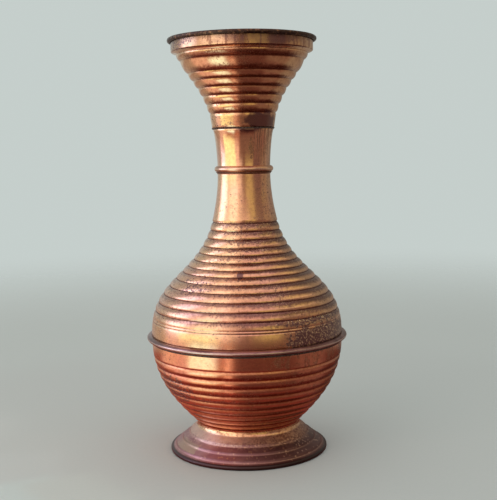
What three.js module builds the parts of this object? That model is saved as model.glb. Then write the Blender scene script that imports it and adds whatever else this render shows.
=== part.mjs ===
// Spun brass vase: a ribbed bulb on a stepped foot, with a two-part neck and a flared, ribbed mouth.
// Each piece is a turning about the vertical axis, so its section is a list of (radius, height) points.
// Lengths are in millimetres, and heights run up from the surface that the vase stands on.
import * as THREE from 'three';

// Sheet, wire and the fits between pieces
const sheet = 0.7; // wall of the spun sheet
const gap = 0.3; // solder gap between two pieces that meet
const wireDiameter = 1.3; // wire inside the rolled edges
const lapLength = 7; // how far one piece reaches into the next at a joint
const joggle = 0.9; // height over which a lap steps inwards
const filletLeg = 1.0; // solder fillet in an outside corner
const collarFillet = 0.6; // solder fillet under the thin edge of the collar

// Foot
const footRadius = 59.1; // over the rolled edge
const treads = 3; // terraces of the foot, counted from the rolled edge
const treadWidth = 5.2;
const treadFall = 2.9; // how far a tread slopes down across its width
const riser = 1.3; // height of the step at a tread's outer edge
const riserLean = 0.4; // how far a step leans outwards
const edgeTread = 2.45; // narrow tread beside the rolled edge
const edgeFall = 0.9;
const throatHeight = 3.2; // polished collar below the bowl
const throatFlare = 1.2; // how far that collar widens towards the cone
const throatSlope = 60; // degrees below the horizontal where it ends
const seatWidth = 5; // flange that the bowl sits on
const lipInset = 1.1; // how far the flange stays inside the bowl's lowest rib

// Lower bowl
const bellyRadius = 71.1; // outside of the shell at its widest
const seatRadius = 38.7; // where the bowl leaves the foot
const seatHeight = 22.4;
const seatSlope = 44.5; // degrees above the horizontal
const bottomRadius = 24; // flat bottom
const bottomSlope = 10; // degrees at which the wall leaves the flat bottom
const bottomDrop = 10.4; // how far the flat bottom hangs below the seat
const bowlHeight = 64; // from the seat to the belly seam
const bowlBand = 13.4; // plain band under the seam
const bowlRibs = 9;

// Shoulder, in one with the lower neck
const shoulderHeight = 85; // from the belly seam to the foot of the neck
const shoulderBand = 15.6; // plain band over the seam
const shoulderRibs = 13;
const neckFootRadius = 24.5;
const neckFootSlope = 15.5; // degrees off the vertical
const lowerNeckHeight = 38.8; // from the last rib to the neck joint
const neckRadius = 19.65; // narrowest part of the neck

// Upper neck
const upperNeckHeight = 29.8; // from the neck joint to the collar
const neckTopRadius = 22.5; // just under the collar
const neckTopSlope = 28; // degrees off the vertical

// Mouth
const collarRadius = 23; // at the collar's lower edge
const collarFlare = 1.4;
const collarLength = 10.6;
const flareStep = 0.6; // how far the lowest rib stands out from the collar
const mouthRibs = 5; // narrow ribs above the collar
const mouthRib = 6.2; // height of the lowest of them
const ribShrink = 0.25; // how much lower each is than the one below
const wideRib = 9.2; // broad rib above them
const topRib = 5; // last rib, under the rim band
const flareRadius = 48.9; // at the top of the ribs
const flareFootSlope = 18; // degrees off the vertical
const flareTopSlope = 26;
const rimBandRadius = 52; // plain cylinder under the rolled rim
const rimBandHeight = 11.7; // with the rolled rim

// Ribs and mouldings
const grooveDepth = 0.9;
const grooveShare = 0.2; // share of a rib's width that each of its flanks takes
const ribLean = 0.25; // how much steeper a rib of the mouth stands than the flare
const bellyRingHeight = 4;
const bellyRingReach = 3.3;
const neckRingHeight = 4.6;
const neckRingReach = 1.9;

// Lengths of the handles that shape the plain curves
const bottomPull = 8.7;
const bowlSeatPull = 24.6;
const bowlBellyPull = 29.3;
const shoulderBellyPull = 41;
const shoulderNeckPull = 41.5;
const lowerNeckPull = 10;
const upperNeckPull = 6;
const neckTopPull = 3.4;
const flareFootPull = 22;
const flareTopPull = 20;

// Fineness of the turned surfaces
const turns = 28; // facets round the axis
const curlFacet = 45; // degrees of one facet of a rolled edge
const curlTurn = 283; // degrees that a rolled edge goes round its wire
const curveSteps = 3; // facets along a plain curve
const ringSteps = 4; // facets over a moulding
const wireSides = 6;

const radians = (degrees) => (degrees * Math.PI) / 180;
const point = (radius, height) => new THREE.Vector2(radius, height);

// A point at a distance from another, in a direction given in degrees from the outward level line.
const polar = (centre, distance, degrees) =>
  point(centre.x + distance * Math.cos(radians(degrees)), centre.y + distance * Math.sin(radians(degrees)));

const lapInset = sheet + gap;
const grooveInside = grooveDepth + sheet;
const curlInner = wireDiameter / 2 + gap;
const curlOuter = curlInner + sheet;
const curlFlat = curlOuter * Math.cos(radians(curlFacet / 2)); // from the wire to the worn flat

// Heights of the joints
const seamHeight = seatHeight + bowlHeight;
const neckFootHeight = seamHeight + shoulderHeight;
const neckJointHeight = neckFootHeight + lowerNeckHeight;
const collarHeight = neckJointHeight + upperNeckHeight;
const flareBottom = collarHeight + collarLength;

const narrowRibs = Array.from({ length: mouthRibs }, (_, i) => mouthRib - i * ribShrink);
const flareRibs = [...narrowRibs, wideRib, topRib];
const flareTop = flareBottom + flareRibs.reduce((sum, height) => sum + height, 0);
const totalHeight = flareTop + rimBandHeight;

// The wires inside the two rolled edges
const footCentre = point(footRadius - curlOuter, curlFlat);
const rimCentre = point(rimBandRadius - sheet + curlOuter, totalHeight - curlFlat);

// A curve between two points that leaves and arrives in directions given in degrees.
function swept(start, startAngle, startPull, end, endAngle, endPull) {
  return new THREE.CubicBezierCurve(
    start,
    polar(start, startPull, startAngle),
    polar(end, -endPull, endAngle),
    end,
  );
}

const bottomEdge = point(bottomRadius, seatHeight - bottomDrop);
const seat = point(seatRadius, seatHeight);
const bowlTop = point(bellyRadius, seamHeight - gap - joggle);
const shoulderFoot = point(bellyRadius, seamHeight + lapLength / 2);
const neckFoot = point(neckFootRadius, neckFootHeight);
const neckStraight = point(neckRadius, neckJointHeight - neckRingHeight);
const upperNeckFoot = point(neckRadius, neckJointHeight + neckRingHeight / 2);
const neckTop = point(neckTopRadius, collarHeight - lapInset);
const collarFoot = point(collarRadius, collarHeight);
const collarTop = point(collarRadius + collarFlare, flareBottom - grooveDepth);
const flareFoot = point(collarTop.x + flareStep, flareBottom);
const flareEnd = point(flareRadius, flareTop);
const neckFootAngle = 90 + neckFootSlope;

const bottomCurve = swept(bottomEdge, bottomSlope, bottomPull, seat, seatSlope, bottomPull);
const bowlCurve = swept(seat, seatSlope, bowlSeatPull, bowlTop, 90, bowlBellyPull);
const shoulderCurve = swept(shoulderFoot, 90, shoulderBellyPull, neckFoot, neckFootAngle, shoulderNeckPull);
const lowerNeckCurve = swept(neckFoot, neckFootAngle, lowerNeckPull, neckStraight, 90, lowerNeckPull);
const upperNeckCurve = swept(upperNeckFoot, 90, upperNeckPull, neckTop, 90 - neckTopSlope, neckTopPull);
const collarLine = new THREE.LineCurve(collarFoot, collarTop);
const flareFootAngle = 90 - flareFootSlope;
const flareTopAngle = 90 - flareTopSlope;
const flareCurve = swept(flareFoot, flareFootAngle, flareFootPull, flareEnd, flareTopAngle, flareTopPull);

// A point beside a curve that runs upwards: a positive distance is away from the axis.
function beside(curve, share, distance) {
  const at = curve.getPointAt(share);
  const along = curve.getTangentAt(share);
  return point(at.x + along.y * distance, at.y - along.x * distance);
}

// Evenly spaced points beside a curve, or beside a stretch of it.
function alongCurve(curve, distance, steps = curveSteps, from = 0, to = 1) {
  const points = [];
  for (let i = 0; i <= steps; i++) points.push(beside(curve, from + ((to - from) * i) / steps, distance));
  return points;
}

// The share of a rising curve's length at which it reaches a height.
function shareAtHeight(curve, height) {
  let low = 0;
  let high = 1;
  for (let i = 0; i < 40; i++) {
    const middle = (low + high) / 2;
    if (curve.getPointAt(middle).y < height) low = middle;
    else high = middle;
  }
  return (low + high) / 2;
}

// Shares of a curve that cut a stretch of it into equal ribs.
const evenGrooves = (from, to, count) =>
  Array.from({ length: count + 1 }, (_, i) => from + ((to - from) * i) / count);

// The outside of ribs whose grooves lie at the given shares of a curve.
function ribs(curve, grooves, lean = 0) {
  const points = [];
  for (let i = 0; i + 1 < grooves.length; i++) {
    const width = grooves[i + 1] - grooves[i];
    points.push(beside(curve, grooves[i], -grooveDepth));
    for (const share of [grooveShare, 1 - grooveShare]) {
      const crest = beside(curve, grooves[i] + width * share, 0);
      crest.x += lean * (0.5 - share) * width * curve.getLength();
      points.push(crest);
    }
  }
  points.push(beside(curve, grooves.at(-1), -grooveDepth));
  return points;
}

// The inside of a ribbed wall, which clears its grooves by the sheet.
const ribbedInside = (curve, grooves) => grooves.map((share) => beside(curve, share, -grooveInside));

// An outline moved sideways by a distance, with its corners kept. Positive is to the right.
function shifted(points, distance) {
  return points.map((at, i) => {
    const before = points[Math.max(i - 1, 0)];
    const after = points[Math.min(i + 1, points.length - 1)];
    const arriving = at.clone().sub(before).normalize();
    const leaving = after.clone().sub(at).normalize();
    const side = point(arriving.y + leaving.y, -arriving.x - leaving.x).normalize();
    const edge = i === 0 ? leaving : arriving;
    const reach = distance / (side.x * edge.y - side.y * edge.x);
    return point(at.x + side.x * reach, at.y + side.y * reach);
  });
}

// The two faces of the sheet where it is rolled round a wire, clockwise from an angle in degrees.
function curl(centre, start) {
  const angles = [start];
  for (let turn = curlFacet / 2; turn < curlTurn; turn += curlFacet) angles.push(start - turn);
  angles.push(start - curlTurn);
  const face = (radius) => angles.map((angle) => polar(centre, radius, angle));
  return { inner: face(curlInner), outer: face(curlOuter) };
}

// Corners of the foot's terraces, from the ledge under the cone down to the rolled edge.
function terraces() {
  const corners = [];
  for (let i = treads - 1; i >= 0; i--) {
    const radius = footCentre.x - edgeTread - i * treadWidth;
    const height = footCentre.y + curlOuter + edgeFall + riser + i * (treadFall + riser);
    corners.push(point(radius, height), point(radius + riserLean, height - riser));
  }
  return corners;
}

function foot() {
  const lipShare = 1 - lipInset / bottomCurve.getLength();
  const seatShare = lipShare - seatWidth / bottomCurve.getLength();
  const flange = alongCurve(bottomCurve, gap, 2, seatShare, lipShare);
  const lip = flange.at(-1);
  const throatEnd = point(lip.x + throatFlare, lip.y - throatHeight);
  const throat = swept(lip, -90, throatHeight / 2, throatEnd, -throatSlope, throatFlare);
  const rolled = curl(footCentre, 90);
  const outside = [...flange, ...throat.getPoints(2).slice(1), ...terraces(), rolled.outer[0]];
  const inside = shifted(outside, sheet).slice(0, -1);
  return [...outside, ...rolled.outer.slice(1), ...rolled.inner.reverse(), ...inside.reverse()];
}

// The lap of the bowl lies inside the shoulder, as far up as this share of the shoulder's curve.
const lapShare = shareAtHeight(shoulderCurve, seamHeight + lapLength);

function lowerBowl() {
  const bandShare = shareAtHeight(bowlCurve, seamHeight - bowlBand);
  const grooves = evenGrooves(0, bandShare, bowlRibs);
  const ribFlank = (grooveShare * bandShare) / bowlRibs;
  const top = [
    beside(bowlCurve, bandShare + ribFlank, 0),
    bowlTop,
    point(bellyRadius - lapInset, seamHeight - gap),
    beside(shoulderCurve, lapShare, -lapInset),
  ];
  const outside = [
    point(0, bottomEdge.y),
    ...alongCurve(bottomCurve, 0),
    ...ribs(bowlCurve, grooves).slice(1),
    ...top,
  ];
  const inside = [
    point(0, bottomEdge.y + sheet),
    ...alongCurve(bottomCurve, -sheet),
    ...ribbedInside(bowlCurve, grooves.filter((_, i) => i % 2 === 1)),
    ...shifted(top, -sheet).slice(1),
  ];
  return [...outside, ...inside.reverse()];
}

function shoulder() {
  const bandShare = shareAtHeight(shoulderCurve, seamHeight + shoulderBand);
  const grooves = evenGrooves(bandShare, 1, shoulderRibs);
  const ribFlank = (grooveShare * (1 - bandShare)) / shoulderRibs;
  const outside = [
    point(bellyRadius, seamHeight),
    shoulderFoot,
    beside(shoulderCurve, bandShare - ribFlank, 0),
    ...ribs(shoulderCurve, grooves),
    ...alongCurve(lowerNeckCurve, 0).slice(1),
    point(neckRadius, neckJointHeight),
  ];
  const inside = [
    point(bellyRadius - sheet, seamHeight),
    beside(shoulderCurve, lapShare, -sheet),
    ...ribbedInside(shoulderCurve, grooves),
    ...alongCurve(lowerNeckCurve, -sheet).slice(1),
    point(neckRadius - sheet, neckJointHeight),
  ];
  return [...outside, ...inside.reverse()];
}

function neckTube() {
  const outside = [
    point(neckRadius - lapInset, neckJointHeight - lapLength),
    point(neckRadius - lapInset, neckJointHeight + gap),
    point(neckRadius, neckJointHeight + gap + joggle),
    ...alongCurve(upperNeckCurve, 0),
    point(collarRadius - lapInset, collarHeight - gap),
    beside(collarLine, lapLength / collarLine.getLength(), -lapInset),
  ];
  return [...outside, ...shifted(outside, -sheet).reverse()];
}

function mouth() {
  const grooves = [0];
  let height = flareBottom;
  for (const ribHeight of flareRibs.slice(0, -1)) {
    height += ribHeight;
    grooves.push(shareAtHeight(flareCurve, height));
  }
  grooves.push(1);
  const inside = [...alongCurve(collarLine, -sheet, 1), beside(flareCurve, 0, -grooveInside)];
  for (let i = 0; i + 1 < grooves.length; i++) {
    inside.push(beside(flareCurve, (grooves[i] + grooves[i + 1]) / 2, -sheet));
    inside.push(beside(flareCurve, grooves[i + 1], -grooveInside));
  }
  const bandBottom = flareTop + grooveInside;
  const rolled = curl(rimCentre, 180);
  return [
    collarFoot,
    collarTop,
    ...ribs(flareCurve, grooves, ribLean),
    point(rimBandRadius, bandBottom),
    ...rolled.inner,
    ...rolled.outer.reverse(),
    point(rimBandRadius - sheet, bandBottom + gap),
    ...inside.reverse(),
  ];
}

// A half-round moulding that covers a seam, with its flat side to the wall.
function ring(wallRadius, middle, height, reach) {
  const inner = wallRadius + gap;
  const points = [point(inner, middle - height / 2)];
  for (let i = 0; i <= ringSteps; i++) {
    const turn = radians((180 * i) / ringSteps - 90);
    const radius = inner + (reach / 2) * (1 + Math.cos(turn));
    points.push(point(radius, middle + (height / 2) * Math.sin(turn)));
  }
  points.push(point(inner, middle + height / 2));
  return points;
}

// A solder fillet in the corner under an edge.
const fillet = (wallRadius, edgeHeight, leg) => [
  point(wallRadius + gap, edgeHeight - gap),
  point(wallRadius + gap, edgeHeight - gap - leg),
  point(wallRadius + gap + leg, edgeHeight - gap),
];

// Solder under the bowl, where the inner edge of the foot's seat ends on it.
function seatFillet() {
  const edge = 1 - (lipInset + seatWidth + gap) / bottomCurve.getLength();
  const toe = edge - filletLeg / bottomCurve.getLength();
  return [
    beside(bottomCurve, edge, gap),
    beside(bottomCurve, toe, gap),
    beside(bottomCurve, edge, gap + sheet),
  ];
}

const wire = (centre) =>
  Array.from({ length: wireSides }, (_, i) => polar(centre, wireDiameter / 2, (360 * i) / wireSides));

// Turns a section into a closed solid whose faces look out.
function turned(section) {
  const outline = section.map((at) => at.clone());
  if (THREE.ShapeUtils.area(outline) < 0) outline.reverse();
  if (outline.some((at) => at.x === 0)) {
    while (outline[0].x !== 0 || outline.at(-1).x !== 0) outline.push(outline.shift());
  } else {
    outline.push(outline[0].clone());
  }
  return new THREE.LatheGeometry(outline, turns);
}

const agedBrass = { color: 0xb5793c, roughness: 0.34, metalness: 1 };
const rosyBrass = { color: 0xa8673a, roughness: 0.36, metalness: 1 };
const darkBrass = { color: 0x7a5348, roughness: 0.4, metalness: 0.95 };
const footPatina = { color: 0x6b4a48, roughness: 0.52, metalness: 0.9 };
const dullIron = { color: 0x3a2c26, roughness: 0.6, metalness: 0.9 };
const stainedSolder = { color: 0x4a3a34, roughness: 0.7, metalness: 0.7 };

const bellyRing = ring(bellyRadius, seamHeight, bellyRingHeight, bellyRingReach);
const neckRing = ring(neckRadius, neckJointHeight, neckRingHeight, neckRingReach);
const bellyFillet = fillet(bellyRadius, seamHeight - bellyRingHeight / 2, filletLeg);
const neckFillet = fillet(neckRadius, neckJointHeight - neckRingHeight / 2, filletLeg);
const underCollar = fillet(neckTopRadius, collarHeight, collarFillet);

const pieces = [
  { name: 'foot', section: foot(), finish: footPatina },
  { name: 'foot_wire', section: wire(footCentre), finish: dullIron },
  { name: 'foot_solder', section: seatFillet(), finish: stainedSolder },
  { name: 'lower_bowl', section: lowerBowl(), finish: rosyBrass },
  { name: 'belly_ring', section: bellyRing, finish: darkBrass },
  { name: 'belly_solder', section: bellyFillet, finish: stainedSolder },
  { name: 'shoulder', section: shoulder(), finish: agedBrass },
  { name: 'neck_ring', section: neckRing, finish: darkBrass },
  { name: 'neck_solder', section: neckFillet, finish: stainedSolder },
  { name: 'neck_tube', section: neckTube(), finish: agedBrass },
  { name: 'collar_solder', section: underCollar, finish: stainedSolder },
  { name: 'mouth', section: mouth(), finish: agedBrass },
  { name: 'rim_wire', section: wire(rimCentre), finish: dullIron },
];

const vase = new THREE.Group();
vase.rotation.x = Math.PI / 2; // the turning axis becomes +Z
for (const { name, section, finish } of pieces) {
  const mesh = new THREE.Mesh(turned(section), new THREE.MeshStandardMaterial(finish));
  mesh.name = name;
  vase.add(mesh);
}

export default vase;
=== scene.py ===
import math

import bmesh
import bpy
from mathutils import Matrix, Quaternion, Vector, noise


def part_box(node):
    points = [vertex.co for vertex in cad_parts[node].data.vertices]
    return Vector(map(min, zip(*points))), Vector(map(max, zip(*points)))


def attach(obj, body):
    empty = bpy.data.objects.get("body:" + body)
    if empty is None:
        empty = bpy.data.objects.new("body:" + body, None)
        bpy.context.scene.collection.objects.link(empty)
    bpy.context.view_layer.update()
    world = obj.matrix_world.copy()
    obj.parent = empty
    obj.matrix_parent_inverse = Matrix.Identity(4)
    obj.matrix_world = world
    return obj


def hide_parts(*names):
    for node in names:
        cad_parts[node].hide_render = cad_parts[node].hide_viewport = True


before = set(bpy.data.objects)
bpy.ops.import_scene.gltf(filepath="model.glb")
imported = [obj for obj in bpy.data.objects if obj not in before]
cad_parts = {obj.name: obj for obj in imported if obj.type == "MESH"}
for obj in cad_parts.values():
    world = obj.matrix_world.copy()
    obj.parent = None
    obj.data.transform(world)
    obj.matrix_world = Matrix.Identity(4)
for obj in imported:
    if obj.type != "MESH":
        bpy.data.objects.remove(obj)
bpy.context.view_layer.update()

scene = bpy.context.scene
scene.view_settings.view_transform = "Standard"

# Sizes are in millimetres, as the pieces are drawn, and meshes are made in metres.
MM = 0.001


def extent(node):
    """Largest radius, lowest height and highest height of a CAD node, in millimetres."""
    low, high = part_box(node)
    return high.x / MM, low.z / MM, high.z / MM


# Sheet and fits
SHEET = 0.7
GAP = 0.3
LAP = SHEET + GAP
JOGGLE = 0.9
LAP_LENGTH = 7.0
WIRE_RADIUS = 0.65
CURL_INNER = WIRE_RADIUS + GAP
CURL_OUTER = CURL_INNER + SHEET
CURL_TURN = 283  # degrees that a rolled edge goes round its wire
FLAT_HALF_ANGLE = 22.5  # degrees of the roll that are worn flat, to each side
WORN = CURL_OUTER * math.cos(math.radians(FLAT_HALF_ANGLE))  # from the wire to that flat
HAIR = 0.0005  # keeps the fine meshes within the solids' box

# Places taken from the frame
BELLY_RADIUS, SEAM, NECK_JOINT = extent("shoulder")
BELLY_RING_REACH, BELLY_RING_LOW, BELLY_RING_HIGH = extent("belly_ring")
NECK_RING_REACH, NECK_RING_LOW, NECK_RING_HIGH = extent("neck_ring")
BOTTOM, LAP_TOP = extent("lower_bowl")[1:]
COLLAR, TOP = extent("mouth")[1:]
FOOT_WIRE = extent("foot_wire")
RIM_WIRE = extent("rim_wire")
FOOT_CENTRE = Vector((FOOT_WIRE[0] - WIRE_RADIUS, WORN))
RIM_CENTRE = Vector((RIM_WIRE[0] - WIRE_RADIUS, TOP - WORN))
RIM_BAND_RADIUS = RIM_CENTRE.x + SHEET - CURL_OUTER

# Foot
TREADS = 3
TREAD_WIDTH = 5.2
TREAD_FALL = 2.9
RISER = 1.3
RISER_LEAN = 0.4
EDGE_TREAD = 2.45
EDGE_FALL = 0.9
THROAT_HEIGHT = 3.2
THROAT_FLARE = 1.2
THROAT_SLOPE = 60
FOOT_MELT = 0.6  # how far the foot's steps are softened
SEAT_WIDTH = 5.0
LIP_INSET = 1.1

# Lower bowl
SEAT = Vector((38.7, 22.4))
SEAT_SLOPE = 44.5  # degrees above the horizontal
BOTTOM_RADIUS = 24.0
BOTTOM_SLOPE = 10
BOWL_BAND = 13.4
BOWL_RIBS = 9
BAND_START = 0.006  # where the plain band starts past its groove, as a share of the bowl's curve

# Shoulder and neck
SHOULDER_BAND = 15.6
# Heights of the hand-turned grooves between the shoulder's ribs, in even steps
SHOULDER_GROOVES = -0.12, 0.81, 1.84, 2.99, 4.13, 5.27, 6.34, 7.24, 8.22, 9.18, 10.1, 11.11, 12.07, 13
FINE_LINE = 1.8  # from the lowest groove of the shoulder to the fine line below it
FINE_LINE_HALF = 0.5
FINE_LINE_DEPTH = 0.35
# the fine line's dark is dirt and painted shade
FINE_LINE_DARK = 0.8
NECK_START = 0.03  # where the neck starts past the last groove, as a share of its curve
NECK_FOOT = Vector((24.5, 171.4))
NECK_FOOT_SLOPE = 15.5
NECK_RADIUS = 19.65
NECK_TOP_RADIUS = 22.5
NECK_TOP_SLOPE = 28
STRAIGHT_BELOW = 4.6  # straight parts of the neck, below its joint and above it
STRAIGHT_ABOVE = 2.3

# Mouth
COLLAR_RADIUS = 23.0
COLLAR_FLARE = 1.4
COLLAR_LENGTH = 10.6
FLARE_STEP = 0.6
FLARE_RIBS = [6.2 - 0.25 * i for i in range(5)] + [9.2, 5.0]  # their heights, from the lowest up
FLARE_RADIUS = 48.9
FLARE_FOOT_SLOPE = 18  # degrees from upright
FLARE_TOP_SLOPE = 26
FLARE_LEAN = 0.1
RIM_CORNER = 0.9
HOLLOW_INSET = 0.25  # the flare's inside against its outside, beyond the sheet
PLAIN_RIBS = {"low": 2.0, "high": 3.0, "lean": FLARE_LEAN}
TOP_RIB = {"low": 1.6, "high": 5.0, "lean": FLARE_LEAN}
FLARE_BOTTOM = COLLAR + COLLAR_LENGTH
FLARE_TOP = FLARE_BOTTOM + sum(FLARE_RIBS)

# How far each curve keeps the direction of its start and of its end
BOTTOM_PULLS = 8.7, 8.7
BOWL_PULLS = 24.6, 29.3
SHOULDER_PULLS = 41, 41.5
LOWER_NECK_PULLS = 10, 10
UPPER_NECK_PULLS = 6, 3.4
FLARE_PULLS = 22, 20

# Ribs
GROOVE = 0.9
SHADED_SIDE = 0.6  # how dark the painted shade on the shaded side of a rib is, against its groove
SHADED_SIDE_FADE = 1.5
CREST = 0.85  # where a rib is worn clean, as a share of it from its lower groove; the cleaner line is also a painted highlight
CREST_WIDTH = 0.14
CORE = 3  # how fast a groove's own dark, dirt and painted shade, ends on the shaded half of a rib

# Mouldings and solder
RING_PRESS = 0.1  # how far a moulding's edges lie within the wall's radius
RING_STEPS = 20
RING_WEAR_AND_GLINT = 8  # how narrow the worn line along a moulding is; its lighter tone is also a painted highlight
DIRT_AND_SHADE_BELOW = 1.0, 1.3  # dirt and painted shade at a moulding's edge, and how fast it ends away from it
DIRT_AND_SHADE_ABOVE = 0.6, 1.6
SOLDER_TUCK = 0.4
SOLDER_RISE = 0.25
SOLDER_STEPS = 6
WIRE_SIDES = 12

# Unevenness of hand-spun walls: its size, waves round the axis, and waves to a millimetre of height
BROAD_WAVES = 0.11, 1.7, 0.02
SMALL_WAVES = 0.05, 6.0, 0.11
SMALL_SHIFT = 9

# Fineness
SIDES = 288
RIB_POINTS = 14
CURVE_POINTS = 20
FLANGE_POINTS = 8
THROAT_POINTS = 6
COLLAR_POINTS = 6
BOTTOM_POINTS = 14
BAND_POINTS = 10
CURL_POINTS = 30
BOWL_HOLLOW = 0.05, 30  # where a wall's inside starts, as a share of its curve, and its points
SHOULDER_HOLLOW = 0.05, 50
NECK_HOLLOW = 0.06, CURVE_POINTS
MELT_STEP = 0.35
CORNER_SHARE = 0.45  # the most that a rounded corner takes of its sides
SHARP_BEND = 0.3  # sine of the turn that marks a point as fully worn or dirty
UPRIGHT = 90  # degrees
MEET = 1e-6  # points that are closer than this, in metres, are merged


def polar(centre, distance, degrees):
    turn = math.radians(degrees)
    return centre + distance * Vector((math.cos(turn), math.sin(turn)))


class Swept:
    """A curve between two (radius, height) points that leaves and arrives in given directions."""

    SAMPLES = 400
    HALVINGS = 40

    def __init__(self, start, start_angle, end, end_angle, pulls):
        leaving, arriving = polar(start, pulls[0], start_angle), polar(end, -pulls[1], end_angle)
        handles = start, leaving, arriving, end
        self.points = []
        for i in range(self.SAMPLES + 1):
            t = i / self.SAMPLES
            weights = (1 - t) ** 3, 3 * t * (1 - t) ** 2, 3 * t * t * (1 - t), t**3
            self.points.append(sum((h * w for h, w in zip(handles, weights)), Vector((0, 0))))
        self.reached = [0.0]
        for before, after in zip(self.points, self.points[1:]):
            self.reached.append(self.reached[-1] + (after - before).length)
        self.length = self.reached[-1]

    def beside(self, share, distance=0.0):
        """The point at a share of the length, moved away from the axis by a distance."""
        wanted = min(max(share, 0), 1) * self.length
        low, high = 0, self.SAMPLES
        while high - low > 1:
            middle = (low + high) // 2
            low, high = (middle, high) if self.reached[middle] <= wanted else (low, middle)
        step = self.points[high] - self.points[low]
        span = self.reached[high] - self.reached[low]
        at = self.points[low] + step * (wanted - self.reached[low]) / span
        along = step.normalized()
        return at + distance * Vector((along.y, -along.x))

    def share_at_height(self, height):
        """The share of the length at which a rising curve reaches a height."""
        low, high = 0.0, 1.0
        for _ in range(self.HALVINGS):
            middle = (low + high) / 2
            low, high = (middle, high) if self.beside(middle).y < height else (low, middle)
        return (low + high) / 2

    def run(self, start=0.0, end=1.0, distance=0.0, steps=CURVE_POINTS):
        return [self.beside(start + (end - start) * i / steps, distance) for i in range(steps + 1)]


bottom_start = Vector((BOTTOM_RADIUS, BOTTOM))
bottom_curve = Swept(bottom_start, BOTTOM_SLOPE, SEAT, SEAT_SLOPE, BOTTOM_PULLS)
bowl_top = Vector((BELLY_RADIUS, SEAM - GAP - JOGGLE))
bowl_curve = Swept(SEAT, SEAT_SLOPE, bowl_top, UPRIGHT, BOWL_PULLS)
shoulder_foot = Vector((BELLY_RADIUS, SEAM + LAP_LENGTH / 2))
neck_foot_angle = UPRIGHT + NECK_FOOT_SLOPE
shoulder_curve = Swept(shoulder_foot, UPRIGHT, NECK_FOOT, neck_foot_angle, SHOULDER_PULLS)
neck_straight = Vector((NECK_RADIUS, NECK_JOINT - STRAIGHT_BELOW))
lower_neck = Swept(NECK_FOOT, neck_foot_angle, neck_straight, UPRIGHT, LOWER_NECK_PULLS)
upper_foot = Vector((NECK_RADIUS, NECK_JOINT + STRAIGHT_ABOVE))
neck_top = Vector((NECK_TOP_RADIUS, COLLAR - LAP))
upper_neck = Swept(upper_foot, UPRIGHT, neck_top, UPRIGHT - NECK_TOP_SLOPE, UPPER_NECK_PULLS)
flare_foot = Vector((COLLAR_RADIUS + COLLAR_FLARE + FLARE_STEP, FLARE_BOTTOM))
flare_top = Vector((FLARE_RADIUS, FLARE_TOP))
flare_curve = Swept(
    flare_foot, UPRIGHT - FLARE_FOOT_SLOPE, flare_top, UPRIGHT - FLARE_TOP_SLOPE, FLARE_PULLS
)


def plain(points, groove=0.0, wear=0.0, rolled=0.0):
    """Section points with their marks, from 0 to 1: in a groove or on a rib's shaded side (dirt and painted
    shade), on a worn ridge, on a rolled edge.
    """
    return [(p.x, p.y, groove, wear, rolled) for p in points]


def ribbed(curve, grooves, low, high, lean=0.0, shaded_share=0.5, ledge=False, first=1.0, crest=9.0):
    """The outside of ribs between the given shares of a curve, tucked in at the grooves.

    Low and high say how square a rib's lower and upper halves are, and lean tips it outward at its foot.
    Painted shade covers the shaded share of the rib from its lower groove, or with ledge from its upper
    one.
    First is the depth of the lowest groove against the rest. Crest says how close to the other groove the
    clean half of a rib stays clean.
    """
    section = []
    for start, end in zip(grooves, grooves[1:]):
        for i in range(RIB_POINTS):
            u = (1 - math.cos(math.pi * i / RIB_POINTS)) / 2
            deep = first if start == grooves[0] and u < 0.5 else 1.0
            tuck = abs(2 * u - 1) ** (low if u < 0.5 else high) * deep
            clear = 1 - u if ledge else u
            # painted shade on the shaded side of each rib, kept in the groove mark
            under = SHADED_SIDE * min(max(SHADED_SIDE_FADE * (1 - clear / shaded_share), 0), 1)
            at = curve.beside(start + (end - start) * u, -GROOVE * tuck)
            at.x += lean * (0.5 - u) * (end - start) * curve.length * (1 - tuck)
            # the groove's own dark line: dirt and painted shade
            core = deep * abs(2 * u - 1) ** (CORE if clear < 0.5 else crest)
            section += plain([at], max(core, under), math.exp(-(((u - CREST) / CREST_WIDTH) ** 2)))
    return section + plain([curve.beside(grooves[-1], -GROOVE)], 1.0)


def even(start, end, count):
    """Numbers from start to end, in the given count of even steps."""
    return [start + (end - start) * i / count for i in range(count + 1)]


def rounded(corners, radius, outside=-1):
    """Section points through rounded corners. Ridges are marked as worn, and hollows as dark, for dirt and
    painted shade.
    """
    section = plain(corners[:1])
    for before, at, after in zip(corners, corners[1:], corners[2:]):
        arriving, leaving = (at - before), (after - at)
        cut = min(radius, arriving.length * CORNER_SHARE, leaving.length * CORNER_SHARE)
        first, last = at - arriving.normalized() * cut, at + leaving.normalized() * cut
        turn = arriving.normalized().cross(leaving.normalized()) * -outside
        for t in (0, 0.25, 0.5, 0.75, 1):
            p = first * (1 - t) ** 2 + at * 2 * t * (1 - t) + last * t * t
            share = 4 * t * (1 - t)
            section += plain([p], max(-turn, 0) * share, max(turn, 0) * share)
    return section + plain(corners[-1:])


def melted(corners, reach, outside=-1):
    """Section points along corners that are smoothed over a reach, with marks by how they bend."""
    fine = []
    for before, after in zip(corners, corners[1:]):
        count = max(round((after - before).length / MELT_STEP), 1)
        fine += [before.lerp(after, i / count) for i in range(count)]
    fine.append(corners[-1])
    soft = []
    for i in range(len(fine)):
        near = min(round(reach / MELT_STEP), i, len(fine) - 1 - i)
        around = fine[i - near : i + near + 1]
        soft.append(sum(around, Vector((0, 0))) / len(around))
    section = plain(soft[:1])
    for before, at, after in zip(soft, soft[1:], soft[2:]):
        bend = (at - before).normalized().cross((after - at).normalized()) * -outside / SHARP_BEND
        section += plain([at], min(max(-bend, 0), 1), min(max(bend, 0), 1))
    return section + plain(soft[-1:])


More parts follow.
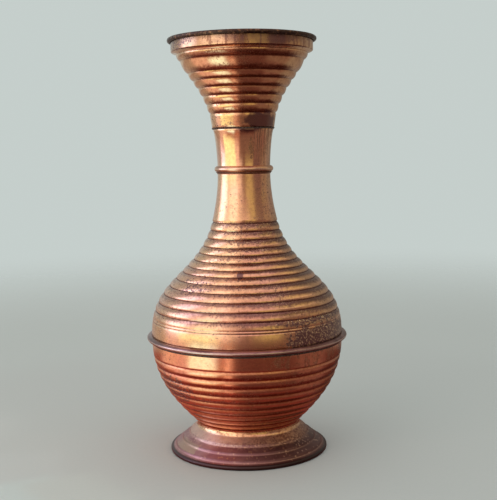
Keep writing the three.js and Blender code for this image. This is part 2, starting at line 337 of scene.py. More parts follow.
def shifted(points, distance):
    """A polyline moved sideways, positive to the right."""
    moved = []
    for i, at in enumerate(points):
        before, after = points[max(i - 1, 0)], points[min(i + 1, len(points) - 1)]
        arriving, leaving = (at - before).normalized(), (after - at).normalized()
        side = Vector((arriving.y + leaving.y, -arriving.x - leaving.x)).normalized()
        edge = leaving if i == 0 else arriving
        moved.append(at + side * distance / (side.x * edge.y - side.y * edge.x))
    return moved


def curl(centre, start, radius):
    """One face of the sheet rolled clockwise round its wire, with the worn flat at the far side kept."""
    points = []
    for i in range(CURL_POINTS + 1):
        p = polar(centre, radius, start - CURL_TURN * i / CURL_POINTS)
        p.y = min(max(p.y, centre.y - WORN + HAIR), centre.y + WORN - HAIR)
        points.append(p)
    return points


def settle(angle, height):
    """How far the hand-spun wall lies inside its true section, in millimetres."""
    x, y = math.cos(angle), math.sin(angle)
    depth, around, along = BROAD_WAVES
    away = depth * (1 + noise.noise(Vector((x * around, y * around, height * along))))
    depth, around, along = SMALL_WAVES
    small = noise.noise(Vector((x * around + SMALL_SHIFT, y * around, height * along)))
    return away + depth * (1 + small)


def turned(node, outside, inside=(), uneven=1.0):
    """Turns a section into the fine mesh that stands for a CAD node."""
    section = [(*mark, 0.0) for mark in outside] + [(*mark, 1.0) for mark in reversed(inside)]
    closed = section[0][0] > 0
    vertices, marks, faces = [], [], []
    for radius, height, groove, wear, rolled, hidden in section:
        for side in range(SIDES):
            angle = math.tau * side / SIDES
            away = max(radius - uneven * settle(angle, height), 0.0) if radius else 0.0
            vertices.append((away * MM * math.cos(angle), away * MM * math.sin(angle), height * MM))
            marks.append((groove, wear, hidden, rolled))
    rows = len(section)
    for row in range(rows if closed else rows - 1):
        for side in range(SIDES):
            here, there = row * SIDES, (row + 1) % rows * SIDES
            after = (side + 1) % SIDES
            faces.append((here + side, here + after, there + after, there + side))
    mesh = bpy.data.meshes.new("fine_" + node)
    mesh.from_pydata(vertices, [], faces)
    colours = mesh.attributes.new("marks", "FLOAT_COLOR", "POINT")
    colours.data.foreach_set("color", [value for mark in marks for value in mark])
    mesh.polygons.foreach_set("use_smooth", [True] * len(mesh.polygons))
    mesh.update()
    piece = bpy.data.objects.new("fine_" + node, mesh)
    scene.collection.objects.link(piece)
    tidy(piece)
    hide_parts(node)
    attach(piece, "root")
    return piece


def tidy(piece):
    """Merges the points that meet on the axis and turns the faces out."""
    grid = bmesh.new()
    grid.from_mesh(piece.data)
    bmesh.ops.remove_doubles(grid, verts=grid.verts, dist=MEET)
    bmesh.ops.recalc_face_normals(grid, faces=grid.faces)
    grid.to_mesh(piece.data)
    grid.free()


def make_foot():
    lip_share = 1 - LIP_INSET / bottom_curve.length
    seat_share = lip_share - SEAT_WIDTH / bottom_curve.length
    flange = bottom_curve.run(seat_share, lip_share, GAP, FLANGE_POINTS)
    lip = flange[-1]
    throat_end = lip + Vector((THROAT_FLARE, -THROAT_HEIGHT))
    throat = Swept(lip, -UPRIGHT, throat_end, -THROAT_SLOPE, (THROAT_HEIGHT / 2, THROAT_FLARE))
    corners = throat.run(steps=THROAT_POINTS)
    for i in range(TREADS - 1, -1, -1):
        radius = FOOT_CENTRE.x - EDGE_TREAD - i * TREAD_WIDTH
        height = FOOT_CENTRE.y + CURL_OUTER + EDGE_FALL + RISER + i * (TREAD_FALL + RISER)
        corners += [Vector((radius, height)), Vector((radius + RISER_LEAN, height - RISER))]
    rolled = curl(FOOT_CENTRE, UPRIGHT, CURL_OUTER)
    outside = plain(flange[:-1]) + melted(corners + rolled[:1], FOOT_MELT)
    outside += plain(rolled[1:], rolled=1.0)
    wall = flange + corners[1:] + rolled[:1]
    inside = plain(shifted(wall, SHEET)[:-1]) + plain(curl(FOOT_CENTRE, UPRIGHT, CURL_INNER))
    return turned("foot", outside, inside)


def make_bowl():
    band = bowl_curve.share_at_height(SEAM - BOWL_BAND)
    grooves = even(0, band, BOWL_RIBS)
    lap_share = shoulder_curve.share_at_height(LAP_TOP)
    ribs = ribbed(bowl_curve, grooves, low=2.0, high=2.5, shaded_share=0.55, crest=6.0)
    joint = [Vector((BELLY_RADIUS - LAP, SEAM - GAP)), shoulder_curve.beside(lap_share, -LAP)]
    outside = plain([Vector((0, BOTTOM))])
    outside += plain(bottom_curve.run(steps=BOTTOM_POINTS)) + ribs[1:]
    outside += plain(bowl_curve.run(band + BAND_START, 1, steps=BAND_POINTS)) + plain(joint)
    inside = plain([Vector((0, BOTTOM + SHEET))])
    inside += plain(bottom_curve.run(distance=-SHEET, steps=BOTTOM_POINTS))
    inside_start, points = BOWL_HOLLOW
    inside += plain(bowl_curve.run(inside_start, band, -GROOVE - SHEET, points))
    inside += plain([bowl_top - Vector((SHEET, GAP)), *(p - Vector((SHEET, 0)) for p in joint)])
    return turned("lower_bowl", outside, inside)


def make_shoulder():
    band_top = shoulder_curve.share_at_height(SEAM + SHOULDER_BAND)
    grooves = [band_top + (1 - band_top) * step / SHOULDER_GROOVES[-1] for step in SHOULDER_GROOVES]
    band = grooves[0]
    line = band - FINE_LINE / shoulder_curve.length
    step = FINE_LINE_HALF / shoulder_curve.length
    outside = plain([Vector((BELLY_RADIUS, SEAM))])
    outside += plain(shoulder_curve.run(0, line - step, steps=BAND_POINTS))
    outside += plain([shoulder_curve.beside(line, -FINE_LINE_DEPTH)], FINE_LINE_DARK)
    outside += plain(shoulder_curve.run(line + step, band - step, steps=2))
    outside += ribbed(shoulder_curve, grooves, low=4.0, high=2.0, shaded_share=0.75, ledge=True, first=0.4)
    outside += plain(lower_neck.run(NECK_START)) + plain([Vector((NECK_RADIUS, NECK_JOINT))])
    inside = plain([Vector((BELLY_RADIUS - SHEET, SEAM))])
    for curve, inset, (inside_start, points) in (
        (shoulder_curve, -GROOVE - SHEET, SHOULDER_HOLLOW),
        (lower_neck, -SHEET, NECK_HOLLOW),
    ):
        inside += plain(curve.run(inside_start, 1, inset, points))
    inside += plain([Vector((NECK_RADIUS - SHEET, NECK_JOINT))])
    return turned("shoulder", outside, inside)


def collar_point(share, distance):
    """A point of the straight collar, at a share of its height, moved away from the axis."""
    radius = COLLAR_RADIUS + COLLAR_FLARE * share + distance
    return Vector((radius, COLLAR + (COLLAR_LENGTH - GROOVE) * share))


def make_neck_tube():
    lap_share = LAP_LENGTH / (COLLAR_LENGTH - GROOVE)
    wall = [
        Vector((NECK_RADIUS - LAP, NECK_JOINT - LAP_LENGTH)),
        Vector((NECK_RADIUS - LAP, NECK_JOINT + GAP)),
        Vector((NECK_RADIUS, NECK_JOINT + GAP + JOGGLE)),
        *upper_neck.run(),
        Vector((COLLAR_RADIUS - LAP, COLLAR - GAP)),
        collar_point(lap_share, -LAP),
    ]
    return turned("neck_tube", plain(wall), plain(shifted(wall, -SHEET)))


def make_mouth():
    grooves, height = [0.0], FLARE_BOTTOM
    for rib in FLARE_RIBS[:-1]:
        height += rib
        grooves.append(flare_curve.share_at_height(height))
    grooves.append(1.0)
    band_foot = Vector((RIM_BAND_RADIUS, FLARE_TOP + GROOVE + SHEET))
    start = polar(RIM_CENTRE, CURL_INNER, 180)
    lip = [flare_curve.beside(1, -GROOVE), band_foot, (band_foot + start) / 2]
    up_collar = [i / COLLAR_POINTS for i in range(COLLAR_POINTS + 1)]
    outside = plain([collar_point(0, 0)], 0, 1) + plain([collar_point(share, 0) for share in up_collar])
    outside += ribbed(flare_curve, grooves[:-1], shaded_share=0.58, **PLAIN_RIBS)[:-1]
    outside += ribbed(flare_curve, grooves[-2:], shaded_share=1.1, **TOP_RIB)[:-1]
    outside += rounded(lip, RIM_CORNER, outside=1)
    outside += plain(curl(RIM_CENTRE, 180, CURL_INNER), rolled=1.0)
    inside = plain([collar_point(share, -SHEET) for share in up_collar])
    hollow = ribbed(flare_curve, grooves, **PLAIN_RIBS)[:-1]
    inside += plain([Vector(mark[:2]) - Vector((SHEET + HOLLOW_INSET, 0)) for mark in hollow])
    inside += plain([band_foot + Vector((-SHEET, GAP))])
    inside += plain(curl(RIM_CENTRE, 180, CURL_OUTER), rolled=1.0)
    return turned("mouth", outside, inside)


def make_ring(node, reach, low, high, wall_radius, shape):
    """A half-round moulding, pressed to the wall. It is darker below than above, with dirt and painted
    shade.
    """
    inner = wall_radius - RING_PRESS
    middle, half, nose = (low + high) / 2, (high - low) / 2, reach - wall_radius - GAP
    section = plain([Vector((inner, low))], 1.0)
    for i in range(RING_STEPS + 1):
        turn = math.radians(180 * i / RING_STEPS - 90)
        bulge = abs(math.cos(turn)) ** shape
        at = Vector((wall_radius + GAP + nose * bulge, middle + half * math.sin(turn)))
        # dirt and painted shade at the moulding's edges, heavier below
        most, fall = DIRT_AND_SHADE_BELOW if turn < 0 else DIRT_AND_SHADE_ABOVE
        section += plain([at], max(0, most - fall * bulge), bulge**RING_WEAR_AND_GLINT)
    section += plain([Vector((inner, high))], 1.0)
    return turned(node, section, uneven=0.6)


def make_solder(node, wall_radius, edge_height, leg):
    """A lumpy solder fillet in the corner under an edge."""
    corner = Vector((wall_radius + GAP, edge_height - GAP))
    section = [corner + Vector((-SOLDER_TUCK, SOLDER_RISE)), corner + Vector((-SOLDER_TUCK, -leg))]
    for i in range(SOLDER_STEPS + 1):
        turn = math.radians(90 * i / SOLDER_STEPS)
        section.append(corner + Vector((leg * (1 - math.cos(turn)), -leg * (1 - math.sin(turn)))))
    section.append(corner + Vector((leg, SOLDER_RISE)))
    return turned(node, plain(section), uneven=0.8)


def make_wire(node, centre):
    """The wire inside a rolled edge."""
    around = [polar(centre, WIRE_RADIUS, 360 / WIRE_SIDES * i) for i in range(WIRE_SIDES)]
    return turned(node, plain(around), uneven=0.0)


class Shader:
    """A node material, built up by short calls."""

    def __init__(self, name):
        self.material = bpy.data.materials.new(name)
        self.material.use_nodes = True
        self.tree = self.material.node_tree
        self.surface = self.tree.nodes["Principled BSDF"]
        self.place_nodes()

    def add(self, kind, settings=None, **inputs):
        node = self.tree.nodes.new(kind)
        for key, value in (settings or {}).items():
            setattr(node, key, value)
        for key, value in inputs.items():
            self.set(node.inputs[int(key[1:]) if key[0] == "_" else key], value)
        return node

    def set(self, socket, value):
        if isinstance(value, bpy.types.NodeSocket):
            self.tree.links.new(value, socket)
        elif isinstance(value, (tuple, list)) and len(socket.default_value) == 4:
            socket.default_value = (*value, 1.0)
        else:
            socket.default_value = value

    def math(self, operation, a, b=0.0, clamp=False):
        node = self.add("ShaderNodeMath", {"operation": operation, "use_clamp": clamp}, _0=a, _1=b)
        return node.outputs[0]

    def times(self, a, b, clamp=False):
        return self.math("MULTIPLY", a, b, clamp)

    def plus(self, a, b, clamp=False):
        return self.math("ADD", a, b, clamp)

    def minus(self, a, b, clamp=False):
        return self.math("SUBTRACT", a, b, clamp)

    def most(self, *values):
        result = values[0]
        for value in values[1:]:
            result = self.math("MAXIMUM", result, value)
        return result

    def ease(self, value, low, high):
        """0 below the low value and 1 above the high one, or the other way round."""
        node = self.add("ShaderNodeMapRange", {"interpolation_type": "SMOOTHSTEP"}, Value=value)
        if low < high:
            ends = low, high, 0.0, 1.0
        else:
            ends = high, low, 1.0, 0.0
        for key, end in zip(("From Min", "From Max", "To Min", "To Max"), ends):
            node.inputs[key].default_value = end
        return node.outputs["Result"]

    def mix(self, factor, a, b):
        node = self.add("ShaderNodeMix", {"data_type": "RGBA"})
        self.set(node.inputs["Factor"], factor)
        self.set(node.inputs[6], a)
        self.set(node.inputs[7], b)
        return node.outputs[2]

    def between(self, factor, a, b):
        return self.plus(a, self.times(factor, self.minus(b, a)))

    def vector(self, operation, a, **inputs):
        return self.add("ShaderNodeVectorMath", {"operation": operation}, _0=a, **inputs).outputs[0]

    def moved(self, vector, shift):
        return self.vector("ADD", vector, _1=(shift, shift, shift))

    def place_nodes(self):
        """Coordinates in millimetres, and the direction from the axis."""
        coordinates = self.add("ShaderNodeTexCoord").outputs["Object"]
        self.place = self.vector("SCALE", coordinates, Scale=1 / MM)
        parts = self.add("ShaderNodeSeparateXYZ", _0=self.place)
        self.x, self.y, self.z = parts.outputs
        square = self.plus(self.times(self.x, self.x), self.times(self.y, self.y))
        self.radius = self.math("SQRT", square)
        self.east = self.math("DIVIDE", self.x, self.radius)
        self.north = self.math("DIVIDE", self.y, self.radius)
        turn = self.math("ARCTAN2", self.x, self.times(self.y, -1.0))
        self.bearing = self.times(turn, 180 / math.pi)  # degrees from the front, to the right
        marks = self.add("ShaderNodeAttribute", {"attribute_name": "marks"})
        parts = self.add("ShaderNodeSeparateColor", _0=marks.outputs["Color"])
        self.groove, self.wear, self.hidden = parts.outputs
        self.rolled = marks.outputs["Alpha"]

    def noise(self, scale, detail=3.0, roughness=0.55, shift=0.0, vector=None):
        """Noise whose features are about 1 / scale millimetres wide."""
        vector = vector or self.place
        if shift:
            vector = self.moved(vector, shift)
        node = self.add(
            "ShaderNodeTexNoise", Vector=vector, Scale=scale, Detail=detail, Roughness=roughness
        )
        return node.outputs["Fac"]

    def streaks(self, around, along, detail=2.0):
        """Noise drawn out round the axis or along it: the numbers are features per turn and per mm."""
        vector = self.add(
            "ShaderNodeCombineXYZ",
            X=self.times(self.east, around),
            Y=self.times(self.north, around),
            Z=self.times(self.z, along),
        )
        return self.noise(1.0, detail, 0.5, vector=vector.outputs[0])

    def cells(self, size):
        """Two random values for each small cell of the surface."""
        node = self.add("ShaderNodeTexVoronoi", Vector=self.place, Scale=1 / size)
        parts = self.add("ShaderNodeSeparateColor", _0=node.outputs["Color"])
        return parts.outputs[0], parts.outputs[1]

    def spots(self, cell, size, chance, shift=0.0):
        """Round spots of about the given size in millimetres, one to some of the cells."""
        wave = self.add("ShaderNodeTexNoise", Vector=self.place, Scale=0.8, Detail=1.0)
        push = self.vector("SCALE", wave.outputs["Color"], Scale=size * 0.8)
        bent = self.vector("ADD", self.moved(self.place, shift), _1=push)
        node = self.add("ShaderNodeTexVoronoi", Vector=bent, Scale=1 / cell)
        parts = self.add("ShaderNodeSeparateColor", _0=node.outputs["Color"])
        reach = self.times(parts.outputs[1], size / cell)
        near = self.math("DIVIDE", node.outputs["Distance"], self.plus(reach, 0.3 * size / cell))
        return self.times(self.ease(near, 0.62, 0.38), self.math("LESS_THAN", parts.outputs[0], chance))

    def stain(self, bearing, height, half_bearing, half_height, ragged=0.5, edge=0.25):
        """A patch about a bearing and a height, with a ragged edge."""
        across = self.math("DIVIDE", self.minus(self.bearing, bearing), half_bearing)
        up = self.math("DIVIDE", self.minus(self.z, height), half_height)
        far = self.math("SQRT", self.plus(self.times(across, across), self.times(up, up)))
        wave = self.noise(0.16, 4.0, 0.6, shift=height)
        wander = self.times(self.minus(wave, 0.5), 2 * ragged)
        return self.ease(self.plus(far, wander), 1.0, 1.0 - edge)

    def finish(self, colour, roughness, metallic, height=None, strength=0.3, distance=0.0002):
        self.set(self.surface.inputs["Base Color"], colour)
        self.set(self.surface.inputs["Roughness"], roughness)
        self.set(self.surface.inputs["Metallic"], metallic)
        if height is not None:
            bump = self.add("ShaderNodeBump", Strength=strength, Distance=distance, Height=height)
            self.set(self.surface.inputs["Normal"], bump.outputs["Normal"])
        return self.material


# Colours, linear
BRIGHT = (0.84, 0.48, 0.27)
ROSY = (0.80, 0.42, 0.29)
UMBER = (0.13, 0.048, 0.038)
PURPLE = (0.15, 0.066, 0.064)
RUSSET = (0.22, 0.062, 0.035)
SOOT_AND_SHADOW = (0.13, 0.064, 0.078)
GROOVE_DIRT_AND_SHADE = (0.075, 0.024, 0.019)
BARE = (0.84, 0.58, 0.36)  # metal that shows between the specks of a film
EDGE = (0.05, 0.030, 0.025), (0.26, 0.14, 0.08)  # a rolled edge, dark and worn
TAN = (0.46, 0.30, 0.22)
IRON = (0.045, 0.030, 0.024), (0.10, 0.06, 0.04)
STAINED_SOLDER = (0.05, 0.022, 0.018), (0.20, 0.16, 0.14)
CLEAN_SOLDER = (0.20, 0.08, 0.05), (0.42, 0.24, 0.17)

# The foot's colours, linear: each is a pair that a noise mixes; the lit pairs go on the left side and the
# shaded pairs, darker copies, on the right, as painted light and shade
TREADS_LIT = (0.31, 0.125, 0.14), (0.40, 0.195, 0.195)
TREADS_SHADED = (0.10, 0.040, 0.037), (0.15, 0.064, 0.058)
CONE_LIT = (0.50, 0.30, 0.24), (0.86, 0.60, 0.46)
CONE_SHADED = (0.24, 0.10, 0.065), (0.52, 0.27, 0.17)
THROAT = BRIGHT, (0.45, 0.20, 0.10)
RIDGE_WEAR_AND_GLINT = (0.62, 0.36, 0.26)
FOOT_EDGE = (0.024, 0.016, 0.016)

# Where the foot's colours change, in millimetres of height and of radius, and in degrees of bearing
CONE_RISE = 11.0, 16.0
THROAT_RISE = 17.9, 18.8
PATCH_RISE = 4.8, 5.8
PATCH_TOP = 11.6, 9.6
PATCH_RIGHT = -47.0, -49.0
PATCH_LEFT = -92.0, -70.0
CREASE_INNER = 56.4, 57.1
CREASE_OUTER = 58.3, 57.6
CREASE_RISE = 2.2, 2.8

TO_RIGHT = -0.9, 0.4  # where the right side's heavier film and groove dark take over, as x over the radius; partly tarnish, partly painted shade
CELL = 1.2  # millimetres across a speck
FINE_SHIFT = 17


def brass(
    name, metals, film, density, stains=(), drips=(), tints_and_shadows=(), dirt_and_shade=1.0, polish=0.2, pits=0.35,
    shade=None, deep=(0.10, 0.022, 0.014), left=0.5, sides=1.0, scuff_and_glint=0.0, spots=0.55, flecks=0.7,
):
    """Old spun brass under a film that is broken into specks, with dirt and painted shade in the grooves,
    and pits.

    Metals are the bare metal's two tones, film is the tarnish and density its share on the right, where the
    heavier film is partly painted shade. Stains of soot, drips and tints_and_shadows, which darken evenly,
    are an amount and a place each; one tint is a painted shadow. dirt_and_shade, pits, spots and flecks are
    amounts, and polish is the bare metal's roughness. Shade is the painted shade's colour beside the
    grooves, and deep the colour in them, dirt with painted shade and painted reflection. Left and sides say
    how much of the grooves' dark, partly painted shade, is found on the left and on both sides, and
    scuff_and_glint how clean the ridges are, which also paints highlight lines on them.
    """
    s = Shader(name)
    speck = s.times(s.minus(s.cells(CELL)[0], 0.5), spots)
    grain = s.plus(speck, s.minus(s.noise(1.0, 2.0, 0.6), 0.5))
    fine = s.noise(0.40, 5.0, 0.65, shift=FINE_SHIFT)
    lines = s.streaks(1.5, 1.7)
    # film and groove dark weigh more on the right and less on the x sides: partly tarnish and dirt, partly
    # painted shade
    to_right = s.ease(s.east, *TO_RIGHT)
    facing = s.between(s.ease(s.math("ABSOLUTE", s.north), 0.35, 0.85), sides, 1.0)
    groove = s.times(s.times(s.groove, facing), s.between(to_right, left, 1.12))

    # How thick the soot and the film lie, and where they hold; the film's extra weight on the right is
    # partly painted shade
    soot = 0.0
    for amount, *place in stains:
        soot = s.most(soot, s.times(s.stain(*place), amount))
    soot = s.times(soot, s.between(s.ease(s.wear, 0.75, 1.0), 1.0, 1.0 - scuff_and_glint))
    cloud = s.ease(s.noise(0.030, 4.0, 0.55, shift=11), 0.36, 0.68)
    thick = s.times(cloud, s.between(to_right, 0.3, density))
    runs = s.ease(s.streaks(17.0, 0.035, 4.0), 0.42, 0.60)
    for amount, *place in drips:
        thick = s.most(thick, s.times(s.times(runs, s.stain(*place)), amount))
    # the film also thickens along the groove mark, which carries the ribs' painted shade
    thick = s.plus(thick, s.times(groove, 0.45 * dirt_and_shade))
    # ridges cleared of film: wear and a painted highlight line
    thick = s.times(thick, s.between(s.wear, 1.0, 1.0 - scuff_and_glint))
    held = s.ease(s.plus(thick, grain), 0.40, 0.62)
    stained = s.ease(s.plus(soot, s.times(grain, 0.8)), 0.30, 0.62)

    # Dirt and painted shade beside the grooves and in them, and pits
    edging = s.plus(groove, s.plus(s.times(fine, 0.4), s.times(speck, 0.2)))
    band = s.times(s.ease(edging, 0.22, 0.80), 0.8 * dirt_and_shade)
    core = s.plus(s.times(s.groove, s.between(facing, 0.6, 1.0)), s.times(fine, 0.3))
    grime_and_shade = s.times(s.ease(core, 0.75, 1.05), s.between(stained, 0.95, 0.4))
    pitted = s.times(s.between(s.ease(s.east, -0.5, 0.8), 0.3, 1.4), pits)
    pit = s.most(s.spots(5.2, 0.95, pitted, shift=21), s.spots(3.1, 0.5, pitted, shift=61))

    # Colour, from the metal up
    hue = s.ease(s.noise(0.022, 3.0, 0.6, shift=40), 0.40, 0.62)
    metal = s.mix(hue, *metals)
    turned_tone = tuple(part * 0.75 for part in metals[1])
    metal = s.mix(s.times(s.ease(lines, 0.45, 0.75), 0.22), metal, turned_tone)
    metal = s.mix(s.times(s.ease(fine, 0.42, 0.62), 0.18), metal, film)
    colour = s.mix(s.times(held, 0.62), metal, film)
    # painted shade beside the grooves and on the ribs' shaded sides
    colour = s.mix(band, colour, shade or film)
    colour = s.mix(s.times(stained, 0.9), colour, SOOT_AND_SHADOW)
    fleck = s.ease(s.noise(0.95, 1.0, 0.5, shift=77), 0.57, 0.62)
    fleck = s.times(fleck, s.ease(s.most(thick, soot), 0.2, 0.6))
    colour = s.mix(s.times(fleck, s.times(s.between(stained, 0.5, 1.0), flecks)), colour, BARE)
    # even tints: stains, and on the neck a painted shadow under the collar
    for amount, *place in tints_and_shadows:
        colour = s.mix(s.times(s.stain(*place), amount), colour, SOOT_AND_SHADOW)
    # the grooves' dark core in the deep colour: dirt with painted shade and painted reflection
    colour = s.mix(grime_and_shade, colour, deep)
    colour = s.mix(s.times(pit, 0.92), colour, GROOVE_DIRT_AND_SHADE)
    # the insides are painted darker: painted shade
    colour = s.mix(s.times(s.hidden, 0.75), colour, UMBER)
    edge = s.mix(s.ease(s.plus(fine, s.times(grain, 0.1)), 0.50, 0.70), *EDGE)
    colour = s.mix(s.times(s.rolled, 0.95), colour, edge)

    # Gloss and relief
    held = s.most(held, stained)
    rough = s.plus(polish, s.plus(s.times(held, 0.14), s.times(grime_and_shade, 0.22)))
    rough = s.plus(rough, s.times(s.minus(fine, 0.5), 0.12))
    rough = s.plus(rough, s.times(s.wear, 0.3 * scuff_and_glint))
    rough = s.plus(rough, s.times(s.hidden, 0.18), True)
    metallic = s.minus(1.0, s.plus(s.times(held, 0.1), s.times(pit, 0.4)), True)
    height = s.plus(s.times(lines, 0.05), s.times(fine, 0.14))
    height = s.minus(height, s.plus(s.times(pit, 0.9), s.times(held, 0.10)))
    return s.finish(colour, rough, metallic, height)


def foot_material():
    """Matt purple-brown, worn bright on the ridges and round the throat, with a tan patch; the ridge lines
    are partly painted highlight, the hollows partly painted shade, and the left side is painted lit and the
    right painted shaded.
    """
    s = Shader("foot_patina")
    grain = s.minus(s.noise(1.05, 3.0, 0.7), 0.5)
    fine = s.noise(0.40, 5.0, 0.65, shift=FINE_SHIFT)
    cloud = s.ease(s.noise(0.05, 4.0, 0.6, shift=5), 0.38, 0.66)
    lines = s.streaks(1.5, 1.4)
    tone, luck = s.cells(CELL)
    speck = s.minus(tone, 0.5)

    # The treads, the cone and the throat, painted lit on the left and shaded on the right
    # side mixes painted light on the left into painted shade on the right
    side = s.ease(s.east, -0.6, 0.6)
    colour = s.mix(side, s.mix(cloud, *TREADS_LIT), s.mix(cloud, *TREADS_SHADED))
    cone = s.ease(s.plus(s.z, s.times(speck, 3.0)), *CONE_RISE)
    gold = s.mix(s.ease(s.plus(fine, s.times(speck, 0.3)), 0.36, 0.66), *CONE_SHADED)
    gold = s.mix(side, s.mix(fine, *CONE_LIT), gold)
    colour = s.mix(s.times(cone, 0.85), colour, gold)
    throat = s.ease(s.plus(s.z, s.times(grain, 1.2)), *THROAT_RISE)
    colour = s.mix(s.times(throat, 0.85), colour, s.mix(s.ease(fine, 0.46, 0.64), *THROAT))

    # The patch
    patch = s.ease(s.plus(s.bearing, s.times(s.minus(fine, 0.5), 8.0)), *PATCH_RIGHT)
    patch = s.times(patch, s.ease(s.bearing, *PATCH_LEFT))
    up = s.times(s.ease(s.z, *PATCH_RISE), s.ease(s.plus(s.z, grain), *PATCH_TOP))
    colour = s.mix(s.times(s.times(patch, up), 0.85), colour, TAN)

    # Wear and dirt, with painted highlights on the ridges and painted shade in the hollows
    bare = s.ease(s.plus(s.times(s.wear, 0.75), s.times(grain, 0.5)), 0.20, 0.80)
    flecks = s.times(s.math("GREATER_THAN", luck, 0.95), s.minus(1.0, s.rolled, True))
    # bright ridges and flecks: wear and painted highlight
    wear_and_glint = s.most(s.times(flecks, 0.5), s.times(bare, 0.7))
    colour = s.mix(wear_and_glint, colour, RIDGE_WEAR_AND_GLINT)
    # dirt and painted shade in the foot's hollows, under each ridge
    grime_and_shade = s.ease(s.plus(s.groove, s.times(fine, 0.4)), 0.40, 1.10)
    colour = s.mix(s.times(grime_and_shade, 0.75), colour, GROOVE_DIRT_AND_SHADE)
    # the dark crease inside the rolled edge: dirt and painted shade
    crease = s.times(s.ease(s.radius, *CREASE_INNER), s.ease(s.radius, *CREASE_OUTER))
    crease = s.times(crease, s.ease(s.z, *CREASE_RISE))
    colour = s.mix(s.times(crease, 0.85), colour, GROOVE_DIRT_AND_SHADE)
    colour = s.mix(s.times(s.rolled, 0.85), colour, FOOT_EDGE)

    # Gloss and relief
    bright = s.most(throat, wear_and_glint)
    rough = s.between(bright, s.plus(0.34, s.times(fine, 0.14)), 0.24)
    height = s.plus(s.times(fine, 0.16), s.plus(s.times(lines, 0.06), s.times(wear_and_glint, 0.08)))
    return s.finish(colour, rough, s.between(bright, 0.8, 1.0), height)


def ring_material(name, colours, polish):
    """Handled brass of two tones, with a third, lighter, along the worn nose, which is also a painted
    highlight.
    """
    s = Shader(name)
    fine = s.noise(0.6, 5.0, 0.65)
    cloud = s.noise(0.06, 4.0, 0.6, shift=15)
    colour = s.mix(s.ease(cloud, 0.4, 0.62), colours[0], colours[1])
    wear_and_glint = s.times(s.ease(s.plus(s.wear, s.times(fine, 0.9)), 0.85, 1.35), 0.7)
    # the nose's lighter tone: wear and a painted highlight
    colour = s.mix(wear_and_glint, colour, colours[2])
    grime_and_shade = s.ease(s.plus(s.groove, s.times(fine, 0.3)), 0.5, 1.0)
    colour = s.mix(grime_and_shade, colour, GROOVE_DIRT_AND_SHADE)
    rough = s.between(wear_and_glint, s.plus(polish, s.times(fine, 0.10)), polish - 0.04)
    return s.finish(colour, rough, 0.95, s.times(fine, 0.2))


def dull_material(name, low, high, roughness, metallic):
    """Rough metal of two tones, for solder and wire."""
    s = Shader(name)
    fine = s.noise(0.9, 5.0, 0.7)
    colour = s.mix(s.ease(fine, 0.35, 0.65), low, high)
    return s.finish(colour, s.plus(roughness, s.times(fine, 0.15)), metallic, s.times(fine, 0.6))


def assign(piece, material):
    piece.data.materials.clear()
    piece.data.materials.append(material)


# Stains, drips and tints_and_shadows: amount, bearing, height, half the width and the height, raggedness,
# soft edge
mouth_brass = brass(
    "mouth_brass", (BRIGHT, (0.74, 0.38, 0.21)), RUSSET, 0.5,
    stains=[(0.30, -45, 244, 34, 8, 0.9), (0.4, -66, 300, 30, 6, 0.6)],
    drips=[(0.85, 25, 300, 70, 8, 0.3)],
    tints_and_shadows=[
        (0.85, 40, 244.5, 46, 8, 0.9, 0.35),
        (0.72, 22, 299.5, 50, 7, 0.4, 0.7),
        (0.4, -58, 298.5, 60, 9, 0.6, 0.8),
    ],
    dirt_and_shade=1.15, shade=(0.17, 0.036, 0.020), deep=(0.11, 0.018, 0.009), left=0.95, sides=0.25, flecks=0.2,
)
neck_brass = brass(
    "neck_brass", ((0.86, 0.50, 0.30), ROSY), UMBER, 0.05,
    drips=[(0.7, 50, 226, 46, 20, 0.3)],
    # this tint is a painted shadow, a dark band round the neck's top just under the collar
    tints_and_shadows=[(0.9, 12, 239.5, 36, 4.2, 0.4, 0.7)],
    polish=0.15, pits=0.7, spots=0.3, flecks=0.0,
)
shoulder_brass = brass(
    "shoulder_brass", (BRIGHT, ROSY), PURPLE, 0.35,
    stains=[
        (0.9, 58, 93, 44, 11, 0.6, 0.4),
        (0.55, 50, 105, 50, 5, 0.6, 0.6),
        (0.42, -42, 128, 26, 9, 0.8, 0.6),
    ],
    drips=[(0.45, 62, 190, 34, 24, 0.4)],
    tints_and_shadows=[(0.85, -5.0, 136.4, 3.0, 3.0, 0.45, 0.4)],
    dirt_and_shade=1.08, polish=0.24, pits=0.65, flecks=0.85,
)
bowl_brass = brass(
    "bowl_brass", ((0.90, 0.43, 0.23), (0.86, 0.38, 0.23)), RUSSET, 0.6,
    # the bowl's first stain darkens its lower left; the second is painted shade on its right side
    stains=[(0.62, -60, 54, 34, 16, 0.5, 0.6), (0.48, 84, 56, 34, 36, 0.5, 0.5)],
    drips=[(0.75, 38, 80, 30, 10, 0.3)],
    shade=(0.27, 0.031, 0.014), deep=(0.22, 0.016, 0.005), left=0.9, scuff_and_glint=0.8,
)
foot_patina = foot_material()
# each ring's third tone lightens its nose: wear and a painted highlight
belly_ring_tones = (0.30, 0.155, 0.145), PURPLE, (0.66, 0.46, 0.40)
belly_ring_brass = ring_material("belly_ring_brass", belly_ring_tones, polish=0.26)
neck_ring_tones = (0.62, 0.33, 0.20), (0.40, 0.19, 0.12), (0.90, 0.60, 0.44)
neck_ring_brass = ring_material("neck_ring_brass", neck_ring_tones, polish=0.24)
wire_iron = dull_material("wire_iron", *IRON, roughness=0.5, metallic=0.8)
solder = dull_material("stained_solder", *STAINED_SOLDER, roughness=0.45, metallic=0.8)
clean_solder = dull_material("clean_solder", *CLEAN_SOLDER, roughness=0.3, metallic=1.0)

